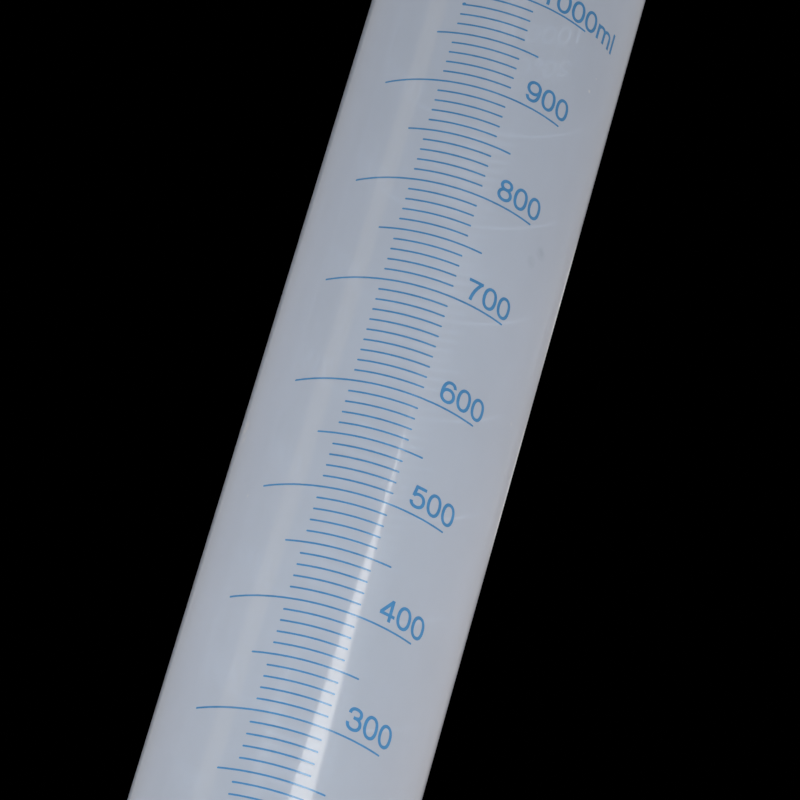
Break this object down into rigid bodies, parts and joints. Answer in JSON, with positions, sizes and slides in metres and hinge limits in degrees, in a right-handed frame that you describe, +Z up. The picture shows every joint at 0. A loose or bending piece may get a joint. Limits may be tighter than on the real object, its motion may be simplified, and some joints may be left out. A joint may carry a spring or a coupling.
{
  "type": "graduated cylinder",
  "caption": "Translucent plastic measuring cylinder with a pouring spout, a printed blue volume scale and a separate hexagonal foot.",
  "frame": {"origin": "centre of the foot's underside, on the table", "axes": "+Z up along the barrel; the printed scale faces -Y and the pouring spout points to -X"},
  "size_m": [0.1486, 0.1328, 0.3892],
  "materials": {
    "barrel": "translucent natural polypropylene, satin, fine turning marks from the mould",
    "foot": "translucent natural polypropylene, satin",
    "ink": "screen-printed blue ink"
  },
  "bodies": {
    "root": {"barrel": "barrel", "foot": "foot", "mark_0100_ml": "ink", "mark_0150_ml": "ink", "mark_0200_ml": "ink", "mark_0250_ml": "ink", "mark_0300_ml": "ink", "mark_0350_ml": "ink", "mark_0400_ml": "ink", "mark_0450_ml": "ink", "mark_0500_ml": "ink", "mark_0550_ml": "ink", "mark_0600_ml": "ink", "mark_0700_ml": "ink", "mark_0750_ml": "ink", "mark_0800_ml": "ink", "mark_0850_ml": "ink", "mark_0900_ml": "ink", "mark_0950_ml": "ink", "mark_1000_ml": "ink"}
  },
  "joints": []
}
